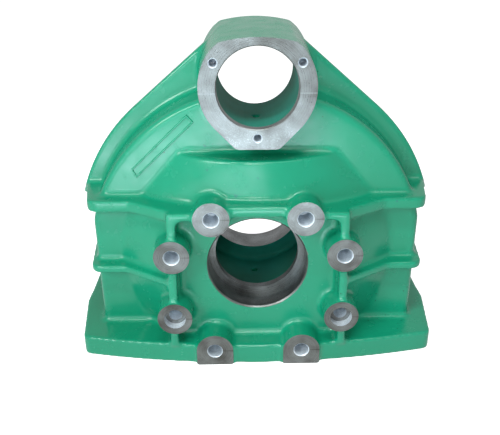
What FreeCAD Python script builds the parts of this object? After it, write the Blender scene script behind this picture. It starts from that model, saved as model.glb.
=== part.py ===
import FreeCAD
import Part
import math
import os
import Sketcher
from types import SimpleNamespace

# Gearbox housing: one iron casting, machined on its bores and seating faces.
# The front wall carries two parallel bearing bores, one above the other, eight
# bosses for a mating case and an arched skirt that ends in a rim. The lower bore
# opens into a round gear tunnel that runs back to a second, larger seat.
# X runs across, Y from the machined boss faces to the back, Z up from the base.

NODE = "housing_casting"

# Driving dimensions in millimetres, each with what it measures.
DIMENSIONS = [
    ("overall_depth", 259, "boss faces to the rear bearing seat"),
    ("main_axis_height", 125.5, "base to the axis of the lower bores"),
    ("axis_distance", 215, "lower axis to upper axis"),
    ("wall", 12, "cast wall thickness"),
    ("base_thickness", 27, "foot slab"),
    ("base_front", 1.5, "front of the foot at its middle"),
    ("base_corner_depth", 26, "front corners of the foot"),
    ("base_front_margin", 20.5, "foot beyond the side wall at its front corners"),
    ("base_side_margin", 32.5, "foot beyond the side wall where it is widest"),
    ("base_side_depth", 111, "where the foot is widest"),
    ("base_rear_margin", 31, "foot beyond the side wall at the back"),
    ("base_rear_gap", 19, "back edge of the foot to the rear seat's face"),
    ("base_corner_radius", 10, "rounded upright corners of the foot"),
    ("case_face", 62, "outer face of the front wall"),
    ("case_half_width", 200, "half width between the side walls"),
    ("case_rise", 5, "how much the arch about the lower axis exceeds that half width"),
    ("case_draft", 3.5, "draft of the skirt in degrees"),
    ("case_edge_radius", 7, "rounded edge between front wall and skirt"),
    ("rim_face", 108, "front face of the rim"),
    ("rim_thickness", 14, "rim from front to back"),
    ("rim_margin", 24, "rim beyond the arch of the case"),
    ("rim_top_radius", 66, "distance of the rim's straight sides from the upper axis"),
    ("ledge_top", 204.5, "upper face of the shelf rib"),
    ("ledge_thickness", 14.5, "shelf rib"),
    ("ledge_depth", 18, "shelf rib in front of the wall at the sides"),
    ("ledge_root_depth", 14.5, "where the shelf rib meets the frame bar"),
    ("ledge_bend_gap", 47, "shelf rib's bend, inward from the side wall"),
    ("ledge_margin", 4, "shelf rib beyond the side wall at its front corner"),
    ("ledge_rear_margin", 17, "shelf rib beyond the side wall at the rim"),
    ("rib_top", 118, "upper face of the middle rib"),
    ("rib_thickness", 10, "middle rib"),
    ("rib_depth", 19, "middle rib in front of the wall at the sides"),
    ("rib_root_depth", 6, "where the middle rib meets the frame bar"),
    ("rib_bend_gap", 37, "middle rib's bend, inward from the side wall"),
    ("rib_margin", 6, "middle rib beyond the side wall at its front corner"),
    ("rib_rear_margin", 13, "middle rib beyond the side wall at the back of the skirt"),
    ("rib_corner_radius", 14, "rounded front corners of both ribs"),
    ("frame_face", 4, "front of the frame bars"),
    ("frame_half_width", 104.5, "outside of the frame bars at their top"),
    ("frame_lean", 3.5, "how much wider the bars stand at the foot"),
    ("frame_bar", 10, "width of a frame bar"),
    ("frame_corner_radius", 7, "inner corners of the frame"),
    ("beam_top", 212, "top of the beam between the upper bosses"),
    ("beam_bottom", 199.5, "underside of that beam"),
    ("recess_face", 30, "wall round the lower bore, inside the frame"),
    ("flank_margin", 33, "foot of the conical flank, inward from the side wall"),
    ("flank_slope", 36, "slope of the flank against the front wall, in degrees"),
    ("flank_face", 19, "where the cone of the flank would be cut flat"),
    ("flank_root_radius", 12, "hollow between the flank and the front wall"),
    ("brow_bottom_drop", 6, "how far the brow starts below the shelf's top"),
    ("brow_bottom_half_width", 146, "half width of the brow at the shelf"),
    ("brow_bottom_face", 18, "front of the brow at the shelf"),
    ("brow_top", 257, "top of the brow"),
    ("brow_top_half_width", 93, "half width of the brow at its top"),
    ("brow_top_face", 29, "front of the brow at its top"),
    ("boss_radius", 21, "machined boss discs"),
    ("boss_back", 44, "inner face of the wall behind the bosses"),
    ("tab_half_width", 22.5, "machined tabs on the foot"),
    ("pattern_height", 109.5, "base to the middle of the boss pattern"),
    ("outer_spacing_x", 107, "outer four bosses, across"),
    ("outer_spacing_z", 178, "outer four bosses, upright"),
    ("side_spacing_x", 201, "side four bosses, across"),
    ("side_spacing_z", 83.5, "side four bosses, upright"),
    ("boss_hole_diameter", 17.5, "plain boss holes"),
    ("boss_hole_depth", 32, "plain boss holes"),
    ("dowel_hole_diameter", 16, "lower side bosses, inner hole"),
    ("dowel_cut_diameter", 26, "lower side bosses, counterbore"),
    ("dowel_cut_depth", 11, "lower side bosses, counterbore"),
    ("ring_face", 26, "machined ring round the upper bore"),
    ("ring_radius", 64.5, "ring at its sides"),
    ("ring_side_angle", 42, "ring arc above and below the axis, in degrees"),
    ("ring_top_height", 54, "upper axis to the top of the ring"),
    ("ring_top_half_width", 41, "half width of the ring's top"),
    ("ring_top_drop", 5, "how far the ring's top falls to its corners"),
    ("ring_bottom_height", 68, "upper axis to the flat under the ring"),
    ("ring_bottom_half_width", 24, "half width of that flat"),
    ("barrel_length", 134, "upper barrel from its ring to its rear end"),
    ("barrel_draft", 2, "draft of the barrel in degrees"),
    ("top_seat_radius", 45, "upper front bearing seat"),
    ("top_seat_length", 9, "upper front bearing seat"),
    ("top_relief_radius", 47.5, "cast bore between the upper seats"),
    ("top_rear_seat_radius", 50, "upper rear bearing seat"),
    ("top_rear_seat_length", 10, "upper rear bearing seat"),
    ("ring_bolt_circle", 110, "three tapped holes in the ring"),
    ("ring_hole_diameter", 8.5, "tapping drill of those holes"),
    ("ring_hole_depth", 22, "those holes"),
    ("main_seat_radius", 60, "lower front bearing seat"),
    ("main_seat_length", 34, "lower front bearing seat"),
    ("main_shoulder_radius", 52, "shoulder behind the front seat"),
    ("main_shoulder_length", 10, "that shoulder"),
    ("main_boss_radius", 76, "boss that carries the front seat"),
    ("tunnel_radius", 91.5, "inside of the gear tunnel"),
    ("rear_seat_length", 45, "lower rear bearing seat"),
    ("rear_wall", 14, "rear wall thickness"),
    ("rear_seat_radius", 70, "lower rear bearing seat"),
    ("rear_boss_radius", 96, "boss that carries the rear seat"),
    ("rear_bolt_circle", 166, "cover bolts of the rear seat"),
    ("rear_hole_diameter", 8.5, "tapping drill of those holes"),
    ("rear_hole_depth", 22, "those holes"),
    ("web", 10, "webs inside the skirt"),
    ("gusset_height", 125, "gussets from the side walls to the foot"),
    ("oil_hole_radius", 4.5, "oil holes of the barrel and the tunnel"),
    ("oil_hole_gap", 33, "drain of the tunnel in front of the rear wall"),
    ("barrel_oil_gap", 66, "oil hole of the barrel behind the ring"),
    ("edge_chamfer", 1.5, "turned edges of the bores"),
]


class Size:
    """A length held both as a number and as the formula that a property is bound to."""

    def __init__(self, number, formula):
        self.number = number
        self.formula = formula

    def __add__(self, other):
        other = as_size(other)
        return Size(self.number + other.number, f"({self.formula} + {other.formula})")

    def __sub__(self, other):
        other = as_size(other)
        return Size(self.number - other.number, f"({self.formula} - {other.formula})")

    def __mul__(self, other):
        other = as_size(other)
        return Size(self.number * other.number, f"({self.formula} * {other.formula})")

    def __truediv__(self, other):
        other = as_size(other)
        return Size(self.number / other.number, f"({self.formula} / {other.formula})")

    def __neg__(self):
        return Size(-self.number, f"(-1 * {self.formula})")


def as_size(value):
    return value if isinstance(value, Size) else Size(value, repr(value))


def root(value):
    return Size(math.sqrt(value.number), f"sqrt({value.formula})")


def tangent(degrees):
    return Size(math.tan(math.radians(degrees.number)), f"tan({degrees.formula} * 1 deg)")


def sine(degrees):
    return Size(math.sin(math.radians(degrees.number)), f"sin({degrees.formula} * 1 deg)")


def cosine(degrees):
    return Size(math.cos(math.radians(degrees.number)), f"cos({degrees.formula} * 1 deg)")


doc = FreeCAD.newDocument("GearboxHousing")
sheet = doc.addObject("Spreadsheet::Sheet", "Sizes")
for row, (alias, number, meaning) in enumerate(DIMENSIONS, start=1):
    sheet.set(f"A{row}", meaning)
    sheet.set(f"B{row}", str(number))
    sheet.setAlias(f"B{row}", alias)
doc.recompute()
s = SimpleNamespace(**{alias: Size(number, "Sizes." + alias) for alias, number, _ in DIMENSIONS})

# Places that follow from the driving dimensions.
top_axis = s.main_axis_height + s.axis_distance
case_back = s.rim_face + s.rim_thickness
inner_face = s.case_face + s.wall
outer_hole_x = s.outer_spacing_x / 2
outer_hole_low = s.pattern_height - s.outer_spacing_z / 2
outer_hole_high = s.pattern_height + s.outer_spacing_z / 2
side_hole_x = s.side_spacing_x / 2
side_hole_low = s.pattern_height - s.side_spacing_z / 2
side_hole_high = s.pattern_height + s.side_spacing_z / 2
bottom_embed = s.base_thickness - 5
case_radius = s.case_half_width + s.case_rise
barrel_back = s.ring_face + s.barrel_length
rear_wall_face = s.overall_depth - s.rear_seat_length

body = doc.addObject("PartDesign::Body", NODE)
body.Label = NODE


def origin_plane(role):
    return next(feature for feature in body.Origin.OriginFeatures if feature.Role == role)


def new_sketch(name, role, offset=None, shift_up=None):
    """A sketch on one of the body's planes. XZ sketches are set back by offset along Y."""
    sketch = body.newObject("Sketcher::SketchObject", name)
    sketch.AttachmentSupport = (origin_plane(role), "")
    sketch.MapMode = "FlatFace"
    if offset is not None:
        offset = as_size(offset)
        distance = -offset if role == "XZ_Plane" else offset
        sketch.setExpression("AttachmentOffset.Base.z", distance.formula)
    if shift_up is not None:
        sketch.setExpression("AttachmentOffset.Base.y", shift_up.formula)
    return sketch


def fix_coordinate(sketch, kind, geometry, point, value):
    """Ties one coordinate of a point to its formula."""
    value = as_size(value)
    if value.formula in ("0", "0.0"):
        axis = -2 if kind == "DistanceX" else -1
        sketch.addConstraint(Sketcher.Constraint("PointOnObject", geometry, point, axis))
        return
    index = sketch.addConstraint(Sketcher.Constraint(kind, -1, 1, geometry, point, value.number))
    sketch.setExpression(f"Constraints[{index}]", value.formula)


def fix_point(sketch, geometry, point, place):
    fix_coordinate(sketch, "DistanceX", geometry, point, place[0])
    fix_coordinate(sketch, "DistanceY", geometry, point, place[1])


def vector(place):
    return FreeCAD.Vector(as_size(place[0]).number, as_size(place[1]).number, 0)


def outline(sketch, points):
    """A closed outline. Each entry is a corner (x, y), or (x, y, centre, turn) where an arc
    about that centre leads on to the next corner, turn being 1 anticlockwise and -1 clockwise."""
    count = len(points)
    first = None
    previous = None
    for number, entry in enumerate(points):
        start = entry[:2]
        end = points[(number + 1) % count][:2]
        if len(entry) == 2:
            piece = sketch.addGeometry(Part.LineSegment(vector(start), vector(end)), False)
            begin, finish = 1, 2
        else:
            centre, turn = entry[2], entry[3]
            middle = vector(centre)
            spoke_in = vector(start) - middle
            spoke_out = vector(end) - middle
            circle = Part.Circle(middle, FreeCAD.Vector(0, 0, 1), spoke_in.Length)
            angles = [math.atan2(spoke.y, spoke.x) for spoke in (spoke_in, spoke_out)]
            if turn < 0:
                angles.reverse()
            piece = sketch.addGeometry(Part.ArcOfCircle(circle, angles[0], angles[1]), False)
            begin, finish = (1, 2) if turn > 0 else (2, 1)
            chord = spoke_out - spoke_in
            along, kind = (0, "DistanceX") if abs(chord.y) > abs(chord.x) else (1, "DistanceY")
            fix_coordinate(sketch, kind, piece, 3, centre[along])
        fix_point(sketch, piece, begin, start)
        if previous is None:
            first = (piece, begin)
        else:
            sketch.addConstraint(Sketcher.Constraint("Coincident", previous[0], previous[1], piece, begin))
        previous = (piece, finish)
    sketch.addConstraint(Sketcher.Constraint("Coincident", previous[0], previous[1], first[0], first[1]))


def circle_at(sketch, centre, radius):
    piece = sketch.addGeometry(
        Part.Circle(vector(centre), FreeCAD.Vector(0, 0, 1), as_size(radius).number), False)
    fix_point(sketch, piece, 3, centre)
    index = sketch.addConstraint(Sketcher.Constraint("Radius", piece, as_size(radius).number))
    sketch.setExpression(f"Constraints[{index}]", as_size(radius).formula)


def rectangle(sketch, low, high):
    outline(sketch, [(low[0], low[1]), (high[0], low[1]), (high[0], high[1]), (low[0], high[1])])


def extrude(kind, name, sketch, length, backward=False, draft=None):
    """A pad or pocket along the sketch's normal, or against it where backward is set."""
    feature = body.newObject("PartDesign::" + kind, name)
    feature.Profile = sketch
    feature.setExpression("Length", as_size(length).formula)
    feature.Reversed = backward
    if draft is not None:
        feature.setExpression("TaperAngle", draft.formula + " * 1 deg")
    sketch.Visibility = False
    doc.recompute()
    return feature


def mirrored(name, features):
    """The same features on the other side of the middle plane."""
    copy = body.newObject("PartDesign::Mirrored", name)
    copy.Originals = features
    copy.MirrorPlane = (origin_plane("YZ_Plane"), [""])
    body.Tip = copy
    doc.recompute()
    return copy


def turned(kind, name, sketch):
    """A revolution or groove about the sketch's horizontal axis."""
    feature = body.newObject("PartDesign::" + kind, name)
    feature.Profile = sketch
    feature.ReferenceAxis = (sketch, ["H_Axis"])
    feature.Angle = 360
    doc.recompute()
    return feature


def drilled(name, sketch, diameter, depth, cut=None, cut_diameter=None, cut_depth=None):
    """Blind holes with a drill point at each circle of the sketch, opened at the mouth."""
    doc.recompute()
    hole = body.newObject("PartDesign::Hole", name)
    hole.Profile = sketch
    doc.recompute()
    hole.Threaded = False
    hole.setExpression("Diameter", diameter.formula)
    hole.DepthType = "Dimension"
    hole.setExpression("Depth", depth.formula)
    hole.DrillPoint = "Angled"
    hole.DrillPointAngle = 118
    hole.HoleCutType = cut or "Countersink"
    hole.HoleCutCustomValues = True
    hole.setExpression("HoleCutDiameter", (cut_diameter or diameter + 3).formula)
    if cut == "Counterbore":
        hole.setExpression("HoleCutDepth", cut_depth.formula)
    else:
        hole.HoleCutCountersinkAngle = 90
    doc.recompute()
    return hole


def edges_of(shape, test):
    """Names of the edges that pass the test, which is given five points along the edge."""
    names = []
    for number, edge in enumerate(shape.Edges, start=1):
        first, last = edge.ParameterRange
        if test([edge.valueAt(first + (last - first) * step / 4) for step in range(5)]):
            names.append(f"Edge{number}")
    return names


def at(value, size):
    return abs(value - as_size(size).number) < 0.1


def rounded(name, base, edge_names, radius):
    fillet = body.newObject("PartDesign::Fillet", name)
    fillet.Base = (base, edge_names)
    fillet.setExpression("Radius", as_size(radius).formula)
    doc.recompute()
    return fillet


# The flanks: the front bulges out round the lower bore as a flat cone about its axis, which
# ends at the foot and at the shelf.
flank_radius = s.case_half_width - s.flank_margin
sketch = new_sketch("FlankProfile", "YZ_Plane", shift_up=s.main_axis_height)
outline(sketch, [
    (s.flank_face, 0),
    (s.flank_face, flank_radius - (s.case_face - s.flank_face) / tangent(s.flank_slope)),
    (s.case_face, flank_radius),
    (s.case_face + 4, flank_radius),
    (s.case_face + 4, 0),
])
turned("Revolution", "Flanks", sketch)
sketch = new_sketch("FlankEnds", "XZ_Plane", s.flank_face - 1)
rectangle(sketch, (-flank_radius - 1, s.main_axis_height - flank_radius - 1), (flank_radius + 1, bottom_embed))
rectangle(sketch, (-flank_radius - 1, s.ledge_top - 3),
          (flank_radius + 1, s.main_axis_height + flank_radius + 1))
extrude("Pocket", "FlankTrim", sketch, s.case_face - s.flank_face + 6)

# The case: a drafted arch about the lower axis with upright sides, closed by the front wall.
spring = s.main_axis_height + root(case_radius * case_radius - s.case_half_width * s.case_half_width)
sketch = new_sketch("CaseOutline", "XZ_Plane", s.case_face)
outline(sketch, [
    (-s.case_half_width, bottom_embed),
    (s.case_half_width, bottom_embed),
    (s.case_half_width, spring, (0, s.main_axis_height), 1),
    (-s.case_half_width, spring),
])
case = extrude("Pad", "Case", sketch, case_back - s.case_face, backward=True, draft=s.case_draft)


def from_axis(point):
    return math.hypot(point.x, point.z - s.main_axis_height.number)


front_edges = edges_of(
    case.Shape,
    lambda points: all(at(p.y, s.case_face) for p in points) and not at(points[2].z, bottom_embed)
    and from_axis(points[2]) > flank_radius.number + 1)
case_edge = rounded("CaseEdge", case, front_edges, s.case_edge_radius)
flank_edges = edges_of(
    case_edge.Shape,
    lambda points: all(at(p.y, s.case_face) and at(from_axis(p), flank_radius) for p in points))
rounded("FlankRoot", case_edge, flank_edges, s.flank_root_radius)

# The rim: an arc about the lower axis that runs on along its common tangents with the upper
# barrel, and stops inside the barrel.
rim_radius = case_radius + s.rim_margin
lean_up = (rim_radius - s.rim_top_radius) / s.axis_distance
lean_out = root(as_size(1) - lean_up * lean_up)
ledge_bottom = s.ledge_top - s.ledge_thickness
rim_end = root(rim_radius * rim_radius
               - (ledge_bottom - s.main_axis_height) * (ledge_bottom - s.main_axis_height))
tangent_low = (rim_radius * lean_out, s.main_axis_height + rim_radius * lean_up)
tangent_high = (s.rim_top_radius * lean_out, top_axis + s.rim_top_radius * lean_up)
sketch = new_sketch("RimOutline", "XZ_Plane", s.rim_face)
outline(sketch, [
    (-rim_end, ledge_bottom),
    (rim_end, ledge_bottom, (0, s.main_axis_height), 1),
    tangent_low,
    tangent_high,
    (-tangent_high[0], tangent_high[1]),
    (-tangent_low[0], tangent_low[1], (0, s.main_axis_height), 1),
])
extrude("Pad", "Rim", sketch, s.rim_thickness, backward=True)

# The shelf rib and the middle rib run from the frame bars round the corners to the rim.


def side_rib(name, top, thickness, depth, root_depth, bend_gap, margin, rear_margin):
    face = s.case_face - depth
    bend = s.case_half_width - bend_gap
    corner = s.case_half_width + margin
    slope = (face - root_depth) / (bend - s.frame_half_width)
    sketch = new_sketch(name + "Outline", "XY_Plane", top - thickness)
    outline(sketch, [
        (s.frame_half_width - 3, root_depth - slope * 3),
        (bend, face),
        (corner - s.rib_corner_radius, face,
         (corner - s.rib_corner_radius, face + s.rib_corner_radius), 1),
        (corner, face + s.rib_corner_radius),
        (s.case_half_width + rear_margin, case_back),
        (s.frame_half_width - 3, case_back),
    ])
    return extrude("Pad", name, sketch, thickness)


ledge = side_rib("Ledge", s.ledge_top, s.ledge_thickness, s.ledge_depth, s.ledge_root_depth,
                 s.ledge_bend_gap, s.ledge_margin, s.ledge_rear_margin)
middle_rib = side_rib("MiddleRib", s.rib_top, s.rib_thickness, s.rib_depth, s.rib_root_depth,
                      s.rib_bend_gap, s.rib_margin, s.rib_rear_margin)
mirrored("RibsMirrored", [ledge, middle_rib])

# The brow above the shelf: a leaning half cone with a flat top under the upper ring.


def brow_section(name, height, half_width, face):
    sagitta = s.case_face - face
    radius = (half_width * half_width + sagitta * sagitta) / (sagitta * 2)
    section = new_sketch(name, "XY_Plane", height)
    outline(section, [
        (-half_width, s.case_face, (0, face + radius), 1),
        (half_width, s.case_face),
        (half_width, s.case_face + 4),
        (-half_width, s.case_face + 4),
    ])
    return section


brow_low = brow_section("BrowFoot", s.ledge_top - s.brow_bottom_drop, s.brow_bottom_half_width,
                        s.brow_bottom_face)
brow_high = brow_section("BrowHead", s.brow_top, s.brow_top_half_width, s.brow_top_face)
doc.recompute()
brow = body.newObject("PartDesign::AdditiveLoft", "Brow")
brow.Profile = brow_low
brow.Sections = [brow_high]
brow.Ruled = True
doc.recompute()

# Inside of the skirt and the front wall, open at the back.
inner_radius = case_radius - s.wall
inner_half_width = s.case_half_width - s.wall
inner_spring = s.main_axis_height + root(inner_radius * inner_radius - inner_half_width * inner_half_width)
sketch = new_sketch("SkirtInside", "XZ_Plane", inner_face)
outline(sketch, [
    (-inner_half_width, s.base_thickness),
    (inner_half_width, s.base_thickness),
    (inner_half_width, inner_spring, (0, s.main_axis_height), 1),
    (-inner_half_width, inner_spring),
])
extrude("Pocket", "SkirtCavity", sketch, case_back - inner_face + 1)
hollow_radius = flank_radius - s.wall * tangent(s.flank_slope / 2)
sketch = new_sketch("BulgeInside", "YZ_Plane", shift_up=s.main_axis_height)
outline(sketch, [
    (s.boss_back, 0),
    (s.boss_back, hollow_radius - (inner_face - s.boss_back) / tangent(s.flank_slope)),
    (inner_face, hollow_radius),
    (inner_face + 1, hollow_radius),
    (inner_face + 1, 0),
])
turned("Groove", "BulgeCavity", sketch)

# The foot: a slab whose front is bowed forward in plan.
base_front_half = s.case_half_width + s.base_front_margin
base_side_half = s.case_half_width + s.base_side_margin
base_rear_half = s.case_half_width + s.base_rear_margin
base_depth = s.overall_depth - s.base_rear_gap
bow = s.base_corner_depth - s.base_front
bow_radius = (base_front_half * base_front_half + bow * bow) / (bow * 2)
sketch = new_sketch("FootOutline", "XY_Plane")
outline(sketch, [
    (-base_front_half, s.base_corner_depth, (0, s.base_front + bow_radius), 1),
    (base_front_half, s.base_corner_depth),
    (base_side_half, s.base_side_depth),
    (base_rear_half, base_depth),
    (-base_rear_half, base_depth),
    (-base_side_half, s.base_side_depth),
])
foot = extrude("Pad", "Foot", sketch, s.base_thickness)
corner_edges = edges_of(
    foot.Shape,
    lambda points: at(min(p.z for p in points), 0) and at(max(p.z for p in points), s.base_thickness)
    and (at(points[2].y, s.base_corner_depth) or at(points[2].y, base_depth)))
rounded("FootCorners", foot, corner_edges, s.base_corner_radius)

# The wall round the lower bore, sunk between the bars.
inside = s.frame_half_width - s.frame_bar
frame_foot = s.frame_half_width + s.frame_lean
sketch = new_sketch("PlateOutline", "XZ_Plane", s.recess_face)
rectangle(sketch, (-frame_foot, bottom_embed), (frame_foot, s.ledge_top - 3))
extrude("Pad", "Plate", sketch, s.boss_back - s.recess_face, backward=True)
sketch = new_sketch("RecessOutline", "XZ_Plane", s.flank_face - 1)
rectangle(sketch, (-inside, s.base_thickness), (inside, s.ledge_top - 3))
extrude("Pocket", "Recess", sketch, s.recess_face - s.flank_face + 1)

# The frame: two upright bars, their top returns and the beam between the upper bosses.
frame_depth = s.boss_back - s.frame_face - 2
corner_height = s.ledge_top - s.frame_bar - s.frame_corner_radius
sketch = new_sketch("BarOutline", "XZ_Plane", s.frame_face)
outline(sketch, [
    (frame_foot, s.base_thickness - 2),
    (s.frame_half_width, s.ledge_top),
    (outer_hole_x, s.ledge_top),
    (outer_hole_x, s.ledge_top - s.frame_bar),
    (inside - s.frame_corner_radius, s.ledge_top - s.frame_bar,
     (inside - s.frame_corner_radius, corner_height), -1),
    (inside, corner_height),
    (inside + s.frame_lean, s.base_thickness - 2),
])
bar = extrude("Pad", "FrameBar", sketch, frame_depth, backward=True)
mirrored("FrameBarMirrored", [bar])
sketch = new_sketch("BeamOutline", "XZ_Plane", s.frame_face)
rectangle(sketch, (-outer_hole_x, s.beam_bottom), (outer_hole_x, s.beam_top))
extrude("Pad", "Beam", sketch, frame_depth, backward=True)

# Bosses with their machined faces in one plane, and the two tabs that reach down the foot.
sketch = new_sketch("BossOutline", "XZ_Plane", 0)
for across in (outer_hole_x, -outer_hole_x):
    circle_at(sketch, (across, outer_hole_high), s.boss_radius)
for across in (side_hole_x, -side_hole_x):
    circle_at(sketch, (across, side_hole_high), s.boss_radius)
    circle_at(sketch, (across, side_hole_low), s.boss_radius)
extrude("Pad", "Bosses", sketch, s.boss_back, backward=True)
sketch = new_sketch("TabOutline", "XZ_Plane", 0)
outline(sketch, [
    (outer_hole_x - s.tab_half_width, 0),
    (outer_hole_x + s.tab_half_width, 0),
    (outer_hole_x + s.tab_half_width, outer_hole_low, (outer_hole_x, outer_hole_low), 1),
    (outer_hole_x - s.tab_half_width, outer_hole_low),
])
tab = extrude("Pad", "Tab", sketch, s.boss_back, backward=True)
mirrored("TabMirrored", [tab])

# The upper barrel, drafted back from its ring.
ring_low = (s.ring_radius * cosine(s.ring_side_angle), top_axis - s.ring_radius * sine(s.ring_side_angle))
ring_high = (s.ring_radius * cosine(s.ring_side_angle), top_axis + s.ring_radius * sine(s.ring_side_angle))
crown = s.ring_top_height
crown_radius = (s.ring_top_half_width * s.ring_top_half_width + s.ring_top_drop * s.ring_top_drop) / (
    s.ring_top_drop * 2)
crown_centre = (0, top_axis + crown - crown_radius)
sketch = new_sketch("BarrelOutline", "XZ_Plane", s.ring_face)
outline(sketch, [
    (-s.ring_bottom_half_width, top_axis - s.ring_bottom_height),
    (s.ring_bottom_half_width, top_axis - s.ring_bottom_height),
    (ring_low[0], ring_low[1], (0, top_axis), 1),
    ring_high,
    (s.ring_top_half_width, top_axis + crown - s.ring_top_drop, crown_centre, 1),
    (-s.ring_top_half_width, top_axis + crown - s.ring_top_drop),
    (-ring_high[0], ring_high[1], (0, top_axis), 1),
    (-ring_low[0], ring_low[1]),
])
extrude("Pad", "Barrel", sketch, barrel_back - s.ring_face, backward=True, draft=s.barrel_draft)

# The gear tunnel, its rear wall and the boss of the rear seat, turned about the lower axis.
tunnel_outside = s.tunnel_radius + s.wall
sketch = new_sketch("TunnelProfile", "YZ_Plane", shift_up=s.main_axis_height)
outline(sketch, [
    (s.boss_back - 2, 0),
    (s.boss_back - 2, tunnel_outside),
    (rear_wall_face + s.rear_wall, tunnel_outside),
    (rear_wall_face + s.rear_wall, s.rear_boss_radius),
    (s.overall_depth, s.rear_boss_radius),
    (s.overall_depth, 0),
])
turned("Revolution", "Tunnel", sketch)

# Webs from the tunnel to the skirt, a pair up to the barrel, and gussets on the foot.
sketch = new_sketch("WebOutline", "XZ_Plane", inner_face - 2, shift_up=s.main_axis_height)
rectangle(sketch, (s.tunnel_radius + 2, -(s.web / 2)), (inner_radius + 2, s.web / 2))
web = extrude("Pad", "Web", sketch, s.rim_face - inner_face + 2, backward=True)
webs = body.newObject("PartDesign::PolarPattern", "Webs")
webs.Originals = [web]
webs.Axis = (sketch, ["N_Axis"])
webs.Angle = 180
webs.Occurrences = 4
body.Tip = webs
doc.recompute()
barrel_bottom = top_axis - s.ring_bottom_height
sketch = new_sketch("SpineOutline", "YZ_Plane", s.ring_bottom_half_width - s.web)
outline(sketch, [
    (s.case_face + 2, s.main_axis_height + s.tunnel_radius + 4),
    (rear_wall_face, s.main_axis_height + s.tunnel_radius + 4),
    (barrel_back - s.wall, barrel_bottom + 4),
    (s.case_face + 2, barrel_bottom + 4),
])
spine = extrude("Pad", "Spine", sketch, s.web)
mirrored("SpineMirrored", [spine])
sketch = new_sketch("GussetOutline", "YZ_Plane", inner_half_width)
outline(sketch, [
    (case_back - 4, s.base_thickness - 2),
    (base_depth - s.wall, s.base_thickness - 2),
    (case_back - 4, s.gusset_height),
])
gusset = extrude("Pad", "Gusset", sketch, s.wall)
mirrored("GussetMirrored", [gusset])

# The lower bore: front seat, shoulder, gear tunnel and rear seat.
seat_end = s.recess_face + s.main_seat_length
shoulder_end = seat_end + s.main_shoulder_length
sketch = new_sketch("LowerBoreProfile", "YZ_Plane", shift_up=s.main_axis_height)
outline(sketch, [
    (s.recess_face - 2, 0),
    (s.recess_face - 2, s.main_seat_radius + s.edge_chamfer),
    (s.recess_face, s.main_seat_radius + s.edge_chamfer),
    (s.recess_face + s.edge_chamfer, s.main_seat_radius),
    (seat_end, s.main_seat_radius),
    (seat_end, s.main_shoulder_radius),
    (shoulder_end, s.main_shoulder_radius),
    (shoulder_end, s.main_boss_radius),
    (s.boss_back, s.main_boss_radius),
    (s.boss_back, s.tunnel_radius),
    (rear_wall_face, s.tunnel_radius),
    (rear_wall_face, s.rear_seat_radius),
    (s.overall_depth - s.edge_chamfer, s.rear_seat_radius),
    (s.overall_depth, s.rear_seat_radius + s.edge_chamfer),
    (s.overall_depth + 2, s.rear_seat_radius + s.edge_chamfer),
    (s.overall_depth + 2, 0),
])
turned("Groove", "LowerBore", sketch)

# The upper bore: a seat at each end of the barrel with the cast wall relieved between them.
sketch = new_sketch("UpperBoreProfile", "YZ_Plane", shift_up=top_axis)
relief_start = s.ring_face + s.top_seat_length
relief_end = barrel_back - s.top_rear_seat_length
outline(sketch, [
    (s.ring_face - 2, 0),
    (s.ring_face - 2, s.top_seat_radius + s.edge_chamfer),
    (s.ring_face, s.top_seat_radius + s.edge_chamfer),
    (s.ring_face + s.edge_chamfer, s.top_seat_radius),
    (relief_start, s.top_seat_radius),
    (relief_start, s.top_relief_radius),
    (relief_end, s.top_relief_radius),
    (relief_end, s.top_rear_seat_radius),
    (barrel_back - s.edge_chamfer, s.top_rear_seat_radius),
    (barrel_back, s.top_rear_seat_radius + s.edge_chamfer),
    (barrel_back + 2, s.top_rear_seat_radius + s.edge_chamfer),
    (barrel_back + 2, 0),
])
turned("Groove", "UpperBore", sketch)

# Drilled holes, all from the machined faces.
sketch = new_sketch("BossHoles", "XZ_Plane", 0)
for across in (outer_hole_x, -outer_hole_x):
    circle_at(sketch, (across, outer_hole_low), s.boss_hole_diameter / 2)
    circle_at(sketch, (across, outer_hole_high), s.boss_hole_diameter / 2)
for across in (side_hole_x, -side_hole_x):
    circle_at(sketch, (across, side_hole_high), s.boss_hole_diameter / 2)
drilled("BossDrilling", sketch, s.boss_hole_diameter, s.boss_hole_depth)
sketch = new_sketch("DowelHoles", "XZ_Plane", 0)
for across in (side_hole_x, -side_hole_x):
    circle_at(sketch, (across, side_hole_low), s.dowel_hole_diameter / 2)
drilled("DowelDrilling", sketch, s.dowel_hole_diameter, s.boss_hole_depth,
        "Counterbore", s.dowel_cut_diameter, s.dowel_cut_depth)
sketch = new_sketch("RingHoles", "XZ_Plane", s.ring_face)
bolt_radius = s.ring_bolt_circle / 2
half = as_size(30)
circle_at(sketch, (bolt_radius * cosine(half), top_axis + bolt_radius * sine(half)), s.ring_hole_diameter / 2)
circle_at(sketch, (-(bolt_radius * cosine(half)), top_axis + bolt_radius * sine(half)),
          s.ring_hole_diameter / 2)
circle_at(sketch, (0, top_axis - bolt_radius), s.ring_hole_diameter / 2)
drilled("RingDrilling", sketch, s.ring_hole_diameter, s.ring_hole_depth)

sketch = new_sketch("CoverHole", "XZ_Plane", s.overall_depth, shift_up=s.main_axis_height)
circle_at(sketch, (s.rear_bolt_circle / 2, 0), s.rear_hole_diameter / 2)
cover_hole = extrude("Pocket", "CoverHoleCut", sketch, s.rear_hole_depth, backward=True)
cover_holes = body.newObject("PartDesign::PolarPattern", "CoverHoles")
cover_holes.Originals = [cover_hole]
cover_holes.Axis = (sketch, ["N_Axis"])
cover_holes.Angle = 360
cover_holes.Occurrences = 6
body.Tip = cover_holes
doc.recompute()

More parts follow.
